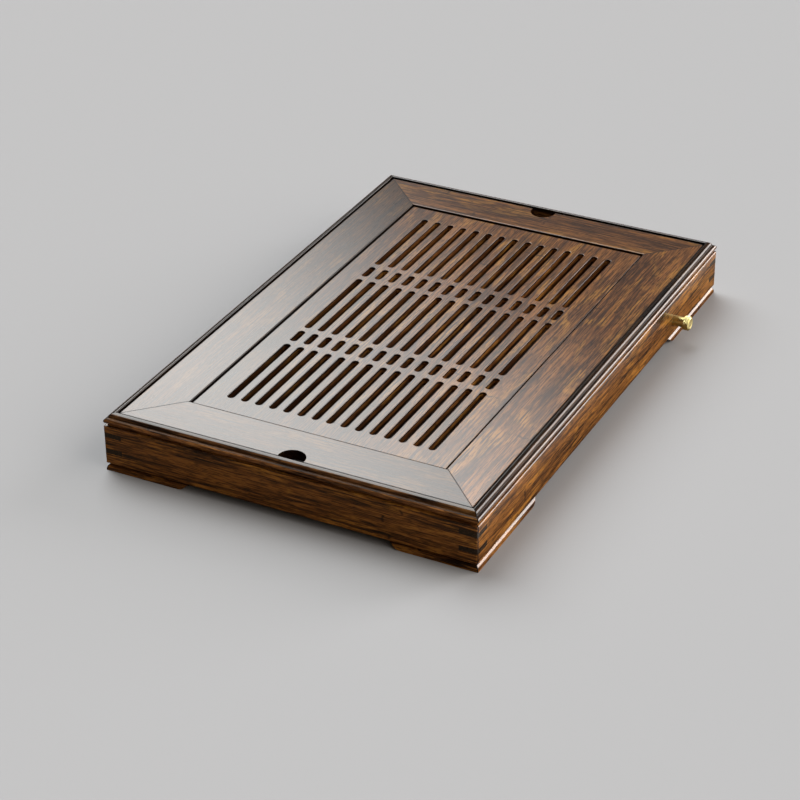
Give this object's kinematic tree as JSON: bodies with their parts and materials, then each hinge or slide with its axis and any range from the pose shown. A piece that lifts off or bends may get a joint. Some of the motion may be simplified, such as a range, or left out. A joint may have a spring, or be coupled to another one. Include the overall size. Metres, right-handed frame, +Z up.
{
  "type": "gongfu tea tray",
  "caption": "Low wooden tea tray: box with splined mitres and a moulded rim, corner feet, a lift-out slotted lid over a reservoir, and a capped brass drain.",
  "frame": {"origin": "on the plane that the feet stand on, below the middle of the bounding box, drain included", "axes": "+X along the long sides towards the drain's end, +Y from the drain's side to the back, +Z up"},
  "size_m": [0.436, 0.3014, 0.045],
  "materials": {
    "wall_wood": "gloss",
    "rim_wood": "gloss",
    "foot_wood": "gloss",
    "lid_frame_wood": "gloss",
    "panel_wood": "gloss",
    "base_wood": "satin",
    "key_wood": "satin",
    "spline_wood": "gloss",
    "brass": "satin",
    "seal_rubber": "matte"
  },
  "bodies": {
    "root": {"wall_front": "wall_wood", "wall_back": "wall_wood", "wall_left": "wall_wood", "wall_right": "wall_wood", "corner_splines": "spline_wood", "rim_front": "rim_wood", "rim_back": "rim_wood", "rim_left": "rim_wood", "rim_right": "rim_wood", "foot_front_left": "foot_wood", "foot_front_right": "foot_wood", "foot_back_left": "foot_wood", "foot_back_right": "foot_wood", "foot_left_front": "foot_wood", "foot_left_back": "foot_wood", "foot_right_front": "foot_wood", "foot_right_back": "foot_wood", "base_board": "base_wood", "drain_spigot": "brass", "spigot_washer": "seal_rubber"},
    "lid": {"lid_member_front": "lid_frame_wood", "lid_member_back": "lid_frame_wood", "lid_member_left": "lid_frame_wood", "lid_member_right": "lid_frame_wood", "lid_panel": "panel_wood", "lid_corner_keys": "key_wood"},
    "gasket": {"cap_gasket": "seal_rubber"},
    "cap": {"drain_cap": "brass"}
  },
  "joints": [
    {"name": "lid_lift", "type": "slide", "parent": "root", "child": "lid", "axis": [0, 0, 1], "range_m": [0, 0.08]},
    {"name": "cap_travel", "type": "slide", "parent": "root", "child": "gasket", "axis": [0, -1, 0], "range_m": [0, 0.0045]},
    {"name": "cap_turn", "type": "hinge", "parent": "gasket", "child": "cap", "pos_m": [0.13, -0.14547, 0.0177], "axis": [0, -1, 0], "range_deg": [0, 1620]}
  ],
  "couplings": [
    {"joint": "cap_turn", "follows": "cap_travel", "rad_per_m": 6283.2}
  ]
}
